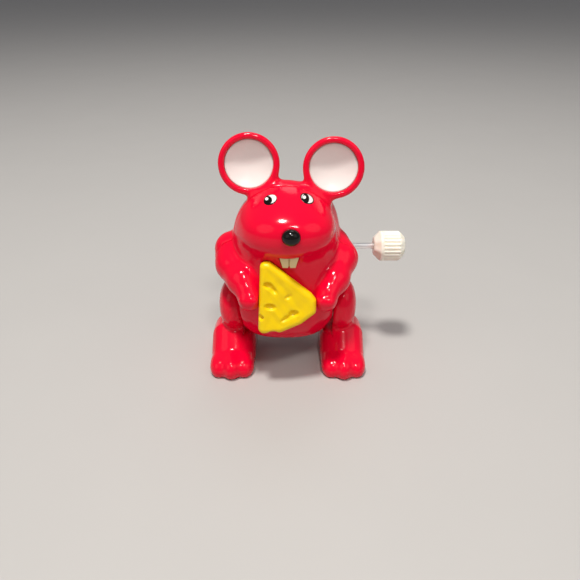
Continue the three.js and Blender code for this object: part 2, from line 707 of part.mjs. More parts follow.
// ---------------------------------------------------------------------- legs
// each leg is one moulding: haunch, instep and a foot with three toes
const leg = (s) => {
  const x = (v) => s * v;
  const dy = -s * THROW; // the left pin stands at the front of its circle, the right at the back
  const round = 2.4;
  const slab = new THREE.ExtrudeGeometry(outline(FOOT), {
    depth: 2 * (FOOT_W - round),
    bevelEnabled: true,
    bevelThickness: round,
    bevelSize: round,
    bevelOffset: -round,
    bevelSegments: 3,
    curveSegments: 1,
  });
  slab.applyMatrix4(YZX);
  slab.translate(x(FOOT_X) - FOOT_W + round, 0, 0);
  const at = ([c, r, p = 2], w, h) => lump([[x(c[0]), c[1], c[2]], r, p], 0, w, h);
  let g = join(at(HAUNCH, 18, 10), solid(slab), ...TOES.map((t) => at(t, 12, 8)));
  g = cut(g, box(-60, 60, -60, 60, -20, 0));
  // flat inner face of the haunch above the foot
  g = cut(g, s > 0 ? box(-1, LEG_X, -60, 60, 8.6, 60) : box(-LEG_X, 1, -60, 60, 8.6, 60));
  const hole = [x(LEG_X - 1), x(15.6)].sort((p, q) => p - q);
  g = cut(g, rodX(PIN_R + 0.06, ...hole, HIP[0] + dy, HIP[1]));
  return g;
};
add('legs', 'left_leg', leg(1), 'red');
add('legs', 'right_leg', leg(-1), 'red');

export default part;
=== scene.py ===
# Clockwork mouse with a wedge of cheese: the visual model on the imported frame.
# Working lengths are millimetres in the mouse's own axes (X = 0 in its
# mid-plane, Y = 0 in the plane of the ears); finished meshes are moved into
# the row frame and scaled to metres.
import json
import math

import bpy
import numpy as np
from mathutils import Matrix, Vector


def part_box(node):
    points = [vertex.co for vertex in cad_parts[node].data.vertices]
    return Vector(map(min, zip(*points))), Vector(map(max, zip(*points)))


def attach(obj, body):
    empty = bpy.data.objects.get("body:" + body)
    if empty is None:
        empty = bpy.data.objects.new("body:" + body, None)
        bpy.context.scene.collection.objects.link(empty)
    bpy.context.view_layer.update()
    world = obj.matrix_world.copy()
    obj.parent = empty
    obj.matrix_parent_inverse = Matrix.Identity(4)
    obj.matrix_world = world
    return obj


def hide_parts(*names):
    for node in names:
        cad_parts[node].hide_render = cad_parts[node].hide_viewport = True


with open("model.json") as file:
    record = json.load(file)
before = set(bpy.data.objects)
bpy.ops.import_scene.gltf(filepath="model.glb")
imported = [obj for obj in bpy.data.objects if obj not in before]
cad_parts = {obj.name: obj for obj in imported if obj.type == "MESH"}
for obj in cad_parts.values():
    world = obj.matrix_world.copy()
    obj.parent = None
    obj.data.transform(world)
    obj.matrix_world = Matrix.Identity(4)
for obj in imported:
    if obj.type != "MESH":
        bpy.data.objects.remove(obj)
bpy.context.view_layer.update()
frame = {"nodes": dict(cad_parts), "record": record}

# the crank shaft lies on X at Y 2, Z 15 in the mouse's own axes
_lo, _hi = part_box("crank_shaft")
SHIFT = np.array([(a + b) * 500.0 for a, b in zip(_lo, _hi)]) - np.array([0.0, 2.0, 15.0])

# ------------------------------------------------------------ dimensions, mm
WALL = 1.5
PART_Y = -3.0
BASE_Z = 10.0
SIDE_X = 12.3
LEG_X = 12.5
POCKET_Z = 25.5

BELLY = ((-0.8, 0.8, 21.0), (14.7, 13.2, 13.6), 2.6)
CHEST = ((0.1, -0.6, 29.0), (14.2, 10.6, 11.0), 2.2)
BACK = ((0.4, 2.5, 30.5), (15.2, 12.5, 12.5), 2.0)
SKULL = ((-0.4, -1.0, 39.9), (12.2, 10.6, 12.2), 2.0)
JOWL = ((-1.2, -0.5, 38.0), (12.5, 10.8, 9.5), 2.3)
NAPE = ((3.2, 3.0, 37.5), (10.5, 8.5, 13.0), 2.0)
SNOUT = ((0.3, -7.5, 41.8), (11.0, 8.0, 6.2), 2.2)

EAR_R, EAR_RIM, EAR_IN, EAR_TILT = 7.7, 0.85, 6.1, math.radians(10)
EARS = {"left": (11.5, 0.0, 55.3), "right": (-9.6, 0.0, 56.3)}
ARMS = {
    "left": ((12.6, 2.0, 33.5, 4.2), (13.9, -2.0, 31.2, 4.3), (12.15, -8.3, 28.3, 3.6), (10.4, -12.0, 26.5, 2.75), (9.8, -13.4, 24.9, 2.85)),
    "right": ((-14.7, 0.0, 33.0, 4.8), (-14.4, -4.0, 30.3, 4.1), (-11.6, -9.0, 28.6, 3.85), (-10.4, -11.8, 27.0, 3.0), (-9.7, -13.5, 25.2, 2.95)),
}
# knuckles, from the middle of each hand
KNUCKLES = {
    "left": ((-0.25, 0.06, 1.88), (-0.9, -1.55, 0.61), (0.77, -1.65, 0.52)),
    "right": ((0.9, 0.66, 1.54), (-1.15, -1.36, 0.67), (0.77, -1.66, 0.5)),
}
NOSE = (0.9, -15.9, 43.6)
NOSE_R = (2.28, 2.0, 2.05)
HIP = (2.0, 15.0)
THROW = 1.2
WIND = (4.0, 32.0)
SHAFT_R = 0.78
KNOB_X = (23.5, 31.9)
KNOB_R = 4.2
CHEESE_AT, CHEESE_T, CHEESE_TILT = (0.0, -14.5, 27.0), 3.3, math.radians(12)
TEETH_Y = (-13.5, -12.3)
TEETH_X = 0.4
BOSSES = ((0.0, 43.0), (10.9, 28.0), (-10.9, 28.0))


# ---------------------------------------------------------- distance fields
def lump(P, c, r, p=2.0, grow=0.0):
    r = np.asarray(r) + grow
    t = np.abs(P - np.asarray(c)) / r
    t = np.maximum(t, 1e-6)
    s = (t**p).sum(-1)
    g = s ** (1 / p)
    grad = (s ** (1 / p - 1))[:, None] * t ** (p - 1) / r
    return (g - 1) / np.maximum(np.linalg.norm(grad, axis=-1), 1e-6)


def turned(P, c, deg):
    """Points turned about c in the X-Z plane, so that a lump there lies at an angle."""
    a = math.radians(deg)
    x, z = P[:, 0] - c[0], P[:, 2] - c[2]
    return np.stack([c[0] + x * math.cos(a) + z * math.sin(a), P[:, 1], c[2] - x * math.sin(a) + z * math.cos(a)], -1)


def limb(P, a, b):
    a, ra, b, rb = np.array(a[:3]), a[3], np.array(b[:3]), b[3]
    ba = b - a
    l2 = ba @ ba
    rr = ra - rb
    a2 = l2 - rr * rr
    il2 = 1 / l2
    pa = P - a
    y = pa @ ba
    z = y - l2
    q = pa * l2 - y[:, None] * ba
    x2 = (q * q).sum(-1)
    y2 = y * y * l2
    z2 = z * z * l2
    k = np.sign(rr) * rr * rr * x2
    d = (np.sqrt(x2 * a2 * il2) + y * rr) * il2 - ra
    e = np.sqrt(x2 + z2) * il2 - rb
    f = np.sqrt(x2 + y2) * il2 - ra
    d = np.where(np.sign(z) * a2 * z2 > k, e, d)
    return np.where(np.sign(y) * a2 * y2 < k, f, d)


def smin(a, b, k):
    h = np.maximum(k - np.abs(a - b), 0) / k
    return np.minimum(a, b) - h * h * k * 0.25


def smax(a, b, k):
    return -smin(-a, -b, k)


def box_sdf(P, lo, hi):
    lo, hi = np.array(lo), np.array(hi)
    q = np.abs(P - (lo + hi) / 2) - (hi - lo) / 2
    return np.linalg.norm(np.maximum(q, 0), axis=-1) + np.minimum(q.max(-1), 0)


def rod(P, axis, at, r, lo, hi):
    """A rod along axis 0, 1 or 2, at the other two coordinates."""
    o = [i for i in range(3) if i != axis]
    d = np.hypot(P[:, o[0]] - at[0], P[:, o[1]] - at[1]) - r
    return np.maximum(d, np.maximum(lo - P[:, axis], P[:, axis] - hi))


EAR_N = np.array([0, -math.cos(EAR_TILT), math.sin(EAR_TILT)])


def ear_rt(P, at):
    rel = P - np.array(at)
    t = rel @ EAR_N
    return np.linalg.norm(rel - t[:, None] * EAR_N, axis=-1), t


def dish_t(r, drop=0.0):
    return -1.75 - drop + 1.95 * (r / EAR_IN) ** 2


def ear(P, at):
    r, t = ear_rt(P, at)
    bead = np.hypot(r - (EAR_R - EAR_RIM), t) - EAR_RIM
    back = -3.6 + 2.8 * (r / 6.6) ** 2
    dish = np.maximum(np.maximum(t - dish_t(r, 0.75), (back - t) * 0.8), r - (EAR_R - EAR_RIM))
    return smin(bead, dish, 0.5)


def ear_void(P, at):
    r, t = ear_rt(P, at)
    return np.maximum(np.maximum((dish_t(r, 0.75) - t) * 0.85, r - EAR_IN + 0.05), t - 5)


def stalk(P, at):
    """The flat web that widens from the ear's lower half down into the head."""
    s = math.copysign(1, at[0])
    rel = P - np.array(at)
    t = rel @ EAR_N
    Q = np.stack([rel[:, 0], 0 * t, rel @ np.array([0, math.sin(EAR_TILT), math.cos(EAR_TILT)])], -1)
    web = limb(Q, (-2.4 * s, 0, -3.4, 4.9), (-5.2 * s, 0, -9.6, 3.2))
    half = 1.35 + 0.12 * np.clip(-Q[:, 2] - 4, 0, 8)
    return smax(web, np.abs(t + 0.75) - half, 1.6)


def outer(P):
    torso = smin(lump(P, *BELLY), lump(P, *CHEST), 4.0)
    torso = smin(torso, lump(P, *BACK), 3.0)
    # the body is flat behind each leg, up to the pocket's top
    side = np.minimum(np.minimum(np.abs(P[:, 0]) - SIDE_X, POCKET_Z - P[:, 2]), P[:, 1] + 8.2)
    torso = smax(torso, side, 0.35)
    head = smin(smin(lump(P, *SKULL), lump(P, *JOWL), 3.0), lump(P, *SNOUT), 4.0)
    d = smin(torso, head, 4.5)
    d = smin(d, lump(P, *NAPE), 1.2)
    for side, a in ARMS.items():
        arm = limb(P, a[0], a[1])
        arm = smin(arm, limb(P, a[1], a[2]), 2.4)
        arm = smin(arm, limb(P, a[2], a[3]), 2.0)
        arm = smin(arm, limb(P, a[3], a[4]), 0.5)
        for k in KNUCKLES[side]:
            arm = smin(arm, np.linalg.norm(P - np.array(a[4][:3]) - np.array(k), axis=-1) - 1.25, 0.7)
        d = smin(d, arm, 1.5)
    for at in EARS.values():
        st = smin(stalk(P, at), ear(P, at), 0.8)
        d = smin(d, st, 1.8)
        d = smax(d, -ear_void(P, at), 0.35)
    tail = smin(
        limb(P, (0.2, 13.2, 20.3, 1.7), (3.2, 13.4, 14.4, 1.5)),
        limb(P, (3.2, 13.4, 14.4, 1.5), (8.2, 10.5, 12.6, 1.1)),
        0.8,
    )
    d = smin(d, tail, 1.0)
    return smax(d, BASE_Z - P[:, 2], 0.8)


def cavity(P):
    d = np.minimum(lump(P, *BELLY, grow=-WALL), lump(P, *BACK, grow=-WALL))
    d = np.minimum(d, lump(P, *SKULL, grow=-WALL))
    side = np.minimum(np.abs(P[:, 0]) - SIDE_X + 1.3, POCKET_Z + 1.4 - P[:, 2])
    d = np.maximum(d, side)
    d = np.maximum(d, BASE_Z + WALL - P[:, 2])
    d = np.maximum(d, P[:, 2] - 46.4)
    return np.minimum(d, box_sdf(P, (-9.1, -5.6, 11.5), (9.1, 9.6, 36)))


def shell(P, front):
    y = P[:, 1]
    d = smax(outer(P), -cavity(P), 0.4)
    if front:
        d = smax(d, y - (PART_Y - 0.04), 0.3)
    else:
        for x, z in BOSSES:
            boss = np.maximum(rod(P, 1, (x, z), 2.4, PART_Y, 16), outer(P) + 0.3)
            d = np.minimum(d, boss)
        d = smax(d, (PART_Y + 0.04) - y, 0.3)
        for x, z in BOSSES:
            d = smax(d, -rod(P, 1, (x, z), 1.05, PART_Y - 1, 20), 0.2)
            d = smax(d, -rod(P, 1, (x, z), 1.8, 0.4, 30), 0.3)
        d = smax(d, -rod(P, 0, HIP, 3.0, 9, 16), 0.3)
        d = smax(d, -rod(P, 0, HIP, 3.0, -16, -9), 0.3)
        d = smax(d, -rod(P, 0, WIND, SHAFT_R + 0.35, 9, 26), 0.2)
    d = smax(d, -box_sdf(P, (-9.4, -6.4, 5), (9.4, 8.8, 12)), 0.3)
    if front:
        d = smax(d, -cheese_body(P, 0.2), 0.2)
        d = smax(d, -lump(P, NOSE, NOSE_R, grow=0.05), 0.1)
        d = smax(d, -tooth_body(P, 0.12), 0.2)
    return d


def polygon(x, z, pts):
    """Signed distance to a convex polygon given anticlockwise, in X-Z."""
    n = len(pts)
    best = None
    inside = np.ones_like(x, bool)
    for i in range(n):
        ax, az = pts[i]
        bx, bz = pts[(i + 1) % n]
        ex, ez = bx - ax, bz - az
        wx, wz = x - ax, z - az
        u = np.clip((wx * ex + wz * ez) / (ex * ex + ez * ez), 0, 1)
        dd = (wx - ex * u) ** 2 + (wz - ez * u) ** 2
        best = dd if best is None else np.minimum(best, dd)
        inside &= ex * wz - ez * wx >= 0
    return np.where(inside, -1, 1) * np.sqrt(best)


# outline of the flat of the cheese, from CHEESE_AT along X and up its face
CHEESE = ((-6.08, -8.61), (-2.05, -8.35), (2.7, -6.25), (5.82, -3.78), (5.83, -1.44), (5.03, -0.36), (-4.87, 7.44), (-5.45, 7.44))
CHEESE_ROUND = 1.4


def on_cheese(P):
    """The cheese's own axes: X, depth into it, up its face."""
    Q = P - np.array(CHEESE_AT)
    c, s = math.cos(CHEESE_TILT), math.sin(CHEESE_TILT)
    return np.stack([Q[:, 0], Q[:, 1] * c - Q[:, 2] * s, Q[:, 1] * s + Q[:, 2] * c], -1)


def cheese_slab(Q, grow=0.0):
    w = polygon(Q[:, 0], Q[:, 2], CHEESE)
    v = np.abs(Q[:, 1]) - CHEESE_T / 2 + CHEESE_ROUND
    q = np.stack([w, v], -1)
    d = np.linalg.norm(np.maximum(q, 0), axis=-1) + np.minimum(q.max(-1), 0)
    return d - CHEESE_ROUND - grow


def cheese_body(P, grow=0.0):
    return cheese_slab(on_cheese(P), grow)


def cheese(P):
    Q = on_cheese(P)
    y0 = -CHEESE_T / 2
    x, z = Q[:, 0], Q[:, 2]
    d = cheese_slab(Q)
    face = np.clip(-polygon(x, z, CHEESE) / 1.5, 0, 1) * (Q[:, 1] < 0)
    d = d + face * (0.1 * np.sin(x * 1.25 + 0.6) * np.sin(z * 1.05 + 1.1) + 0.05 * np.sin(x * 2.3 + z * 1.7) + 0.15)
    for c, r, turn in (
        ((-4.75, y0, 3.0), (1.25, 1.1, 0.85), -20),
        ((-3.6, y0, 1.9), (1.3, 0.9, 0.7), -50),
        ((0.25, y0, 0.05), (0.95, 0.6, 0.5), 25),
        ((-4.3, y0, -2.6), (1.45, 1.0, 0.85), -8),
        ((0.3, y0, -5.3), (2.3, 0.8, 0.6), 32),
        ((1.55, y0, -4.35), (1.3, 1.1, 0.85), 10),
        ((-7.0, y0 + 0.3, -5.5), (1.0, 0.9, 0.75), 0),
    ):
        d = smax(d, -lump(turned(Q, c, turn), c, r), 0.35)
    return smax(d, -(np.linalg.norm(Q - np.array((-3.75, y0 + 0.5, -10.4)), axis=-1) - 1.45), 0.35)


def tooth_body(P, grow=0.0):
    x, y, z = P[:, 0] - TEETH_X, P[:, 1], P[:, 2]
    u = (z - 34.2) / 3.1
    half = 1.62 + 0.88 * np.clip(u, 0, 1.2)
    d = np.maximum(np.abs(x) - half, np.maximum(34.2 - z, z - 39.2))
    return smax(d, np.abs(y - sum(TEETH_Y) / 2) - 0.6, 0.3) - grow


def teeth(P):
    x = P[:, 0] - TEETH_X
    d = tooth_body(P)
    groove = np.maximum(np.abs(x) - 0.13, P[:, 1] - TEETH_Y[0] - 0.4)
    d = smax(d, -groove, 0.15)
    notch = np.abs(x) * 2.6 + (P[:, 2] - 34.8)
    return smax(d, -np.maximum(notch * 0.35, P[:, 2] - 35.2), 0.15)


FOOT_SIDE = ((-11.9, -6.0), (13.8, -6.0), (13.9, 1.5), (9.8, 7.2), (4.5, 10.8), (-3.2, 11.8), (-11.9, 4.4))


def leg(P, s):
    Q = P * np.array([s, 1, 1])
    x, y, z = Q[:, 0], Q[:, 1], Q[:, 2]
    d = smax(polygon(y, z, FOOT_SIDE), np.hypot(x - 15.5, 2.2) - 6.63, 7.0)
    for c, r in (
        ((15.5, -11.2, 2.3), (2.9, 4.2, 3.5)),
        ((19.0, -10.4, 1.9), (2.6, 3.9, 3.2)),
        ((12.0, -10.4, 1.9), (2.6, 3.9, 3.2)),
    ):
        d = smin(d, lump(Q, c, r), 1.3)
    d = smin(d, lump(Q, (15.0, 0.2, 16.2), (4.2, 7.0, 7.0), 2.3), 1.2)
    d = smax(d, -z, 0.5)
    d = smax(d, np.minimum(LEG_X - x, z - 8.6), 0.35)
    # the crank pin's hole: the left pin stands at the front of its circle, the right at the back
    return smax(d, -rod(Q, 0, (HIP[0] - s * THROW, HIP[1]), 0.96, 8, 15.6), 0.15)


# --------------------------------------------------------- mesh from a field
def extract(f, lo, hi, h):
    """Surface nets on a grid of step h, then each vertex is moved onto the surface."""
    lo, hi = np.array(lo, float), np.array(hi, float)
    n = np.ceil((hi - lo) / h).astype(int) + 1
    ax = [lo[i] + h * np.arange(n[i]) for i in range(3)]
    V = np.empty(n)
    slab = max(1, int(400000 / (n[1] * n[2])))
    for i in range(0, n[0], slab):
        g = np.stack(np.meshgrid(ax[0][i : i + slab], ax[1], ax[2], indexing="ij"), -1)
        V[i : i + slab] = f(g.reshape(-1, 3)).reshape(g.shape[:3])
    inside = V < 0
    cn = n - 1
    total = np.zeros((*cn, 3))
    count = np.zeros(cn)
    quads = []
    idx = np.arange(np.prod(cn)).reshape(cn)
    for a in range(3):
        b, c = (a + 1) % 3, (a + 2) % 3
        s0 = [slice(None)] * 3
        s1 = [slice(None)] * 3
        s0[a], s1[a] = slice(0, -1), slice(1, None)
        A, B = V[tuple(s0)], V[tuple(s1)]
        cross = inside[tuple(s0)] != inside[tuple(s1)]
        # edges on the grid's border have no ring of cells
        keep = np.zeros_like(cross)
        k = [slice(None)] * 3
        k[b] = k[c] = slice(1, -1)
        keep[tuple(k)] = True
        ii = np.argwhere(cross & keep)
        t = A[tuple(ii.T)] / (A[tuple(ii.T)] - B[tuple(ii.T)])
        p = lo + h * ii.astype(float)
        p[:, a] += h * t
        ring = []
        for db, dc in ((-1, -1), (0, -1), (0, 0), (-1, 0)):
            cell = ii.copy()
            cell[:, b] += db
            cell[:, c] += dc
            np.add.at(total, tuple(cell.T), p)
            np.add.at(count, tuple(cell.T), 1)
            ring.append(idx[tuple(cell.T)])
        q = np.stack(ring, -1)
        out = A[tuple(ii.T)] < 0
        quads.append(q[out])
        quads.append(q[~out][:, ::-1])
    quads = np.concatenate(quads)
    used = np.unique(quads)
    verts = total.reshape(-1, 3)[used] / count.reshape(-1)[used][:, None]
    faces = np.searchsorted(used, quads)
    e = h * 0.1
    for _ in range(3):
        d = f(verts)
        grad = np.stack(
            [f(verts + e * np.eye(3)[k]) - f(verts - e * np.eye(3)[k]) for k in range(3)], -1
        ) / (2 * e)
        g2 = np.maximum((grad**2).sum(-1), 0.15)
        step = np.clip(d / g2, -0.4 * h, 0.4 * h)
        verts = verts - step[:, None] * grad
    return verts, faces


def mesh_object(name, verts, faces, smooth=True):
    me = bpy.data.meshes.new(name)
    v = (np.asarray(verts) + SHIFT) * 0.001
    me.from_pydata(v.tolist(), [], [list(map(int, f)) for f in faces])
    me.update()
    if smooth:
        me.polygons.foreach_set("use_smooth", [True] * len(me.polygons))
    ob = bpy.data.objects.new(name, me)
    bpy.context.scene.collection.objects.link(ob)
    return ob


def lathe_x(name, profile, at, n=64):
    """A closed turned solid round an X axis at Y, Z; profile is (x, r) from end to end."""
    verts, faces = [], []
    rows = []
    for x, r in profile:
        if r < 1e-6:
            rows.append([len(verts)])
            verts.append((x, at[0], at[1]))
        else:
            rows.append(list(range(len(verts), len(verts) + n)))
            for i in range(n):
                a = 2 * math.pi * i / n
                verts.append((x, at[0] + r * math.cos(a), at[1] + r * math.sin(a)))
    for p, q in zip(rows, rows[1:]):
        for i in range(n):
            j = (i + 1) % n
            if len(p) == 1:
                faces.append((p[0], q[j], q[i]))
            elif len(q) == 1:
                faces.append((p[i], p[j], q[0]))
            else:
                faces.append((p[i], p[j], q[j], q[i]))
    return mesh_object(name, verts, faces)


# ---------------------------------------------------------------- materials
def material(name, color, rough=0.3, metal=0.0, vary=0.06, rough_vary=0.05, scale=60.0,
             bump=0.02, bump_scale=400.0, coat=0.0, sss=0.0, sss_color=None, stretch=None,
             spec=0.5, trans=0.0, dark=None):
    m = bpy.data.materials.new(name)
    m.use_nodes = True
    nt = m.node_tree
    bsdf = nt.nodes["Principled BSDF"]
    tex = nt.nodes.new("ShaderNodeTexCoord")
    mapping = nt.nodes.new("ShaderNodeMapping")
    nt.links.new(tex.outputs["Object"], mapping.inputs["Vector"])
    if stretch:
        mapping.inputs["Scale"].default_value = stretch
    noise = nt.nodes.new("ShaderNodeTexNoise")
    noise.inputs["Scale"].default_value = scale
    noise.inputs["Detail"].default_value = 4
    nt.links.new(mapping.outputs["Vector"], noise.inputs["Vector"])
    ramp = nt.nodes.new("ShaderNodeMix")
    ramp.data_type = "RGBA"
    lo = [c * (1 - vary) for c in color] if dark is None else dark
    hi = [min(1, c * (1 + vary)) for c in color]
    ramp.inputs["A"].default_value = (*lo[:3], 1)
    ramp.inputs["B"].default_value = (*hi[:3], 1)
    nt.links.new(noise.outputs["Fac"], ramp.inputs["Factor"])
    nt.links.new(ramp.outputs["Result"], bsdf.inputs["Base Color"])
    mr = nt.nodes.new("ShaderNodeMapRange")
    mr.inputs["To Min"].default_value = max(0.02, rough - rough_vary)
    mr.inputs["To Max"].default_value = rough + rough_vary
    noise2 = nt.nodes.new("ShaderNodeTexNoise")
    noise2.inputs["Scale"].default_value = scale * 3.1
    noise2.inputs["Detail"].default_value = 5
    nt.links.new(mapping.outputs["Vector"], noise2.inputs["Vector"])
    nt.links.new(noise2.outputs["Fac"], mr.inputs["Value"])
    nt.links.new(mr.outputs["Result"], bsdf.inputs["Roughness"])
    if bump:
        noise3 = nt.nodes.new("ShaderNodeTexNoise")
        noise3.inputs["Scale"].default_value = bump_scale
        noise3.inputs["Detail"].default_value = 2
        nt.links.new(mapping.outputs["Vector"], noise3.inputs["Vector"])
        b = nt.nodes.new("ShaderNodeBump")
        b.inputs["Strength"].default_value = bump
        b.inputs["Distance"].default_value = 0.0004
        nt.links.new(noise3.outputs["Fac"], b.inputs["Height"])
        nt.links.new(b.outputs["Normal"], bsdf.inputs["Normal"])
    bsdf.inputs["Metallic"].default_value = metal
    bsdf.inputs["Specular IOR Level"].default_value = spec
    bsdf.inputs["Coat Weight"].default_value = coat
    bsdf.inputs["Coat Roughness"].default_value = 0.04
    if sss:
        bsdf.inputs["Subsurface Weight"].default_value = sss
        bsdf.inputs["Subsurface Radius"].default_value = sss_color or (1, 0.5, 0.3)
        bsdf.inputs["Subsurface Scale"].default_value = 0.0015
    if trans:
        bsdf.inputs["Transmission Weight"].default_value = trans
    return m


RED = material("red_plastic", (0.84, 0.0012, 0.03), rough=0.12, vary=0.05, rough_vary=0.03,
               scale=90, bump=0.04, bump_scale=260, spec=0.3)
WHITE = material("ear_white", (0.86, 0.8, 0.76), rough=0.3, vary=0.03, scale=120, spec=0.3,
                 bump=0.03, bump_scale=300)
BLACK = material("nose_black", (0.006, 0.005, 0.004), rough=0.12, vary=0.3, scale=200, bump=0.03,
                 spec=0.3)
CREAM = material("tooth_cream", (0.72, 0.55, 0.28), rough=0.3, vary=0.08, scale=400, bump=0.05)
YELLOW = material("cheese_yellow", (0.95, 0.64, 0.003), rough=0.32, vary=0.05, scale=160, spec=0.25,
                  bump=0.18, bump_scale=420, sss=0.15, sss_color=(1, 0.7, 0.1))
MILKY = material("knob_milky", (0.94, 0.88, 0.76), rough=0.38, vary=0.05, scale=250, bump=0.08,
                 sss=0.5, sss_color=(1, 0.9, 0.75))
STEEL = material("shaft_steel", (0.95, 0.95, 0.95), rough=0.36, metal=0.8, vary=0.08, scale=300,
                 bump=0.15, bump_scale=900, stretch=(0.05, 1, 1))
ZINC = material("screw_zinc", (0.5, 0.52, 0.54), rough=0.35, metal=1, vary=0.1, scale=500, bump=0.1)
BRASS = material("arbor_brass", (0.72, 0.5, 0.2), rough=0.3, metal=1, vary=0.1, scale=400, bump=0.1)
ACETAL = material("gear_acetal", (0.8, 0.79, 0.74), rough=0.42, vary=0.04, scale=200, bump=0.06)
BLUED = material("spring_steel", (0.12, 0.14, 0.2), rough=0.3, metal=1, vary=0.2, scale=300,
                 bump=0.1, stretch=(1, 1, 1))

BY_SLOT = {
    "red_shell": RED, "ear_white": WHITE, "nose_black": BLACK, "tooth_cream": CREAM,
    "cheese_yellow": YELLOW, "knob_milky": MILKY, "shaft_steel": STEEL, "screw_zinc": ZINC,
    "arbor_brass": BRASS, "gear_acetal": ACETAL, "spring_steel": BLUED,
}
slots = {s["node"]: s["material_slot"] for s in frame["record"]["subparts"]}
for node, ob in frame["nodes"].items():
    for ms in ob.material_slots:
        ms.material = BY_SLOT[slots[node]]


def finish_piece(ob, mat, slot, body, *nodes):
    ob.data.materials.append(mat)
    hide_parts(*nodes)
    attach(ob, body)
    return ob


# ------------------------------------------------------------------- pieces
H = 0.36
v, f = extract(lambda P: shell(P, True), (-20, -18, 9), (20, -2, 52), H)
front = finish_piece(mesh_object("front_shell_visual", v, f), RED, "red_shell", "housing", "front_shell")
v, f = extract(lambda P: shell(P, False), (-20.5, -4, 9), (20.5, 16.5, 65), H)
rear = finish_piece(mesh_object("rear_shell_visual", v, f), RED, "red_shell", "housing", "rear_shell")
for side, s in (("left", 1), ("right", -1)):
    x0, x1 = (8, 22) if s > 0 else (-22, -8)
    v, f = extract(lambda P: leg(P, s), (x0, -18, -1), (x1, 16, 26), H)
    finish_piece(mesh_object(f"{side}_leg_visual", v, f), RED, "red_shell", f"{side}_leg", f"{side}_leg")
v, f = extract(cheese, (-8.5, -19, 15), (9, -9.5, 39), 0.22)
finish_piece(mesh_object("cheese_visual", v, f), YELLOW, "cheese_yellow", "housing", "cheese_wedge")
v, f = extract(teeth, (-4, -14.2, 33), (4.5, -11.5, 40), 0.14)
finish_piece(mesh_object("teeth_visual", v, f), CREAM, "tooth_cream", "housing", "teeth")

v, f = extract(lambda P: lump(P, NOSE, NOSE_R), (-2, -18.5, 41), (4, -13, 46.5), 0.12)
finish_piece(mesh_object("nose_visual", v, f), BLACK, "nose_black", "housing", "nose_ball")

for side, at in EARS.items():
    R = EAR_IN - 0.06
    n, m = 72, 18
    u = EAR_N
    ex = np.array([1.0, 0, 0])
    ey = np.cross(u, ex)
    verts, faces = [], []
    for layer in (0.0, 0.45):
        verts.append(np.array(at) + u * dish_t(0, layer + 0.2))
        for k in range(1, m + 1):
            r = R * k / m
            for i in range(n):
                a = 2 * math.pi * i / n
                verts.append(np.array(at) + (ex * math.cos(a) + ey * math.sin(a)) * r + u * dish_t(r, layer + 0.2))
    base = 1 + n * m
    for L in (0, 1):
        o = L * base
        for i in range(n):
            j = (i + 1) % n
            t = [(o, o + 1 + i, o + 1 + j)]
            for k in range(m - 1):
                p = o + 1 + k * n
                t.append((p + i, p + n + i, p + n + j, p + j))
            faces += t if L == 0 else [x[::-1] for x in t]
    for i in range(n):
        j = (i + 1) % n
        p = 1 + (m - 1) * n
        faces.append((p + i, base + p + i, base + p + j, p + j))
    finish_piece(mesh_object(f"{side}_ear_dish", verts, faces), WHITE, "ear_white", "housing", f"{side}_ear_liner")

finish_piece(
    lathe_x("wind_shaft_visual", [(-8.6, 0), (-8.6, 0.6), (-8.4, SHAFT_R), (29.6, SHAFT_R), (29.7, 0.7), (29.7, 0)], WIND, 48),
    STEEL, "shaft_steel", "winder", "wind_shaft",
)

# ribbed winding knob: grip ribs between a plain collar and a chamfered end, both scalloped
n = 24 * 12
RIBS, SCALLOPS = 24, 8
x0, x1 = KNOB_X
# x, radius, rib depth, scallop depth
prof = [
    (x0, 0.95, 0, 0), (x0, 2.3, 0, 0.05), (x0 + 0.1, 2.6, 0, 0.15), (x0 + 0.35, 2.85, 0, 0.25), (x0 + 1.35, 3.85, 0, 0.3),
    (x0 + 1.55, 4.05, 0, 0.2), (x0 + 1.75, KNOB_R, 0, 0.12), (x0 + 2.4, KNOB_R, 0, 0.12), (x0 + 2.5, KNOB_R - 0.05, 0.05, 0.1),
    (x0 + 2.6, KNOB_R - 0.12, 0.3, 0), (x0 + 2.9, KNOB_R - 0.12, 0.38, 0), (x1 - 1.9, KNOB_R - 0.12, 0.38, 0),
    (x1 - 1.6, KNOB_R - 0.12, 0.3, 0), (x1 - 1.45, KNOB_R - 0.2, 0.1, 0.1), (x1 - 1.2, 3.85, 0, 0.28), (x1 - 0.35, 2.95, 0, 0.25),
    (x1 - 0.1, 2.65, 0, 0.15), (x1, 2.35, 0, 0.05),
]
verts, faces, rows = [], [], []
for x, r, rib, scal in prof:
    rows.append(len(verts))
    for i in range(n):
        a = 2 * math.pi * i / n
        w = (0.5 - 0.5 * math.cos(RIBS * a)) ** 1.6
        u = 0.5 - 0.5 * math.cos(SCALLOPS * a)
        rr = r - rib * w - scal * u
        verts.append((x, WIND[0] + rr * math.cos(a), WIND[1] + rr * math.sin(a)))
end = len(verts)
verts.append((x1, *WIND))
inner0 = len(verts)
for i in range(n):
    a = 2 * math.pi * i / n
    verts.append((x0 + 1.0, WIND[0] + 0.95 * math.cos(a), WIND[1] + 0.95 * math.sin(a)))
cap = len(verts)
verts.append((x0 + 1.0, *WIND))
for p, q in zip(rows, rows[1:]):
    for i in range(n):
        j = (i + 1) % n
        faces.append((p + i, p + j, q + j, q + i))
for i in range(n):
    j = (i + 1) % n
    faces.append((rows[-1] + i, rows[-1] + j, end))
    faces.append((rows[0] + j, rows[0] + i, inner0 + i, inner0 + j))
    faces.append((inner0 + j, inner0 + i, cap))
finish_piece(mesh_object("winding_knob_visual", verts, faces), MILKY, "knob_milky", "winder", "winding_knob")

